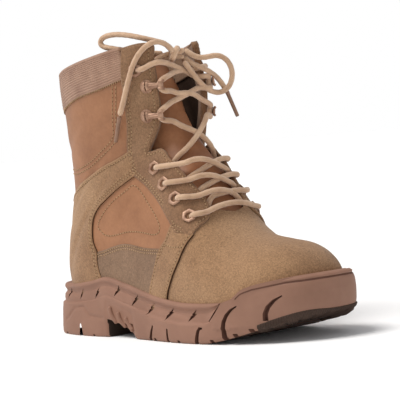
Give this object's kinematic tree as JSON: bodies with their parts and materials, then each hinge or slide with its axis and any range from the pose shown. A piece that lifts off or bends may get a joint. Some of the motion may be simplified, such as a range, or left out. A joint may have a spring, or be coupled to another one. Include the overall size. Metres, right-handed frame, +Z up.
{
  "type": "combat boot",
  "caption": "Right-foot laced combat boot with a hollow suede and leather upper, speed hooks, a tied lace and a cup sole with a heel block and cleated tread",
  "frame": {"origin": "on the floor under the middle of the boot's length and width, measured without the bow and its ends", "axes": "+X to the toe, +Y to the inner side of the right foot, +Z up out of the collar"},
  "size_m": [0.312, 0.1074, 0.2463],
  "materials": {
    "sole_rubber": "moulded, satin",
    "suede": "napped suede",
    "tongue_leather": "smooth, soft",
    "lining_felt": "felt",
    "webbing": "woven",
    "fittings": "satin bronze brown",
    "lace": "round braid",
    "lace_tip": "satin"
  },
  "bodies": {
    "root": {"sole": "sole_rubber", "upper": "suede", "insole": "lining_felt", "tongue": "tongue_leather", "heel_loop": "webbing", "eyelet_lateral_1": "fittings", "eyelet_lateral_2": "fittings", "eyelet_lateral_3": "fittings", "eyelet_lateral_4": "fittings", "eyelet_lateral_5": "fittings", "hook_lateral_1": "fittings", "hook_lateral_2": "fittings", "eyelet_medial_1": "fittings", "eyelet_medial_2": "fittings", "eyelet_medial_3": "fittings", "eyelet_medial_4": "fittings", "eyelet_medial_5": "fittings", "hook_medial_1": "fittings", "hook_medial_2": "fittings", "lace_bar": "lace", "lace_cross_1": "lace", "lace_cross_2": "lace", "lace_cross_3": "lace", "lace_cross_4": "lace", "lace_cross_5": "lace", "lace_cross_6": "lace", "lace_knot": "lace", "lace_loop_lateral": "lace", "lace_loop_medial": "lace", "lace_end_lateral": "lace", "lace_end_medial": "lace", "lace_tip_lateral": "lace_tip", "lace_tip_medial": "lace_tip"}
  },
  "joints": []
}
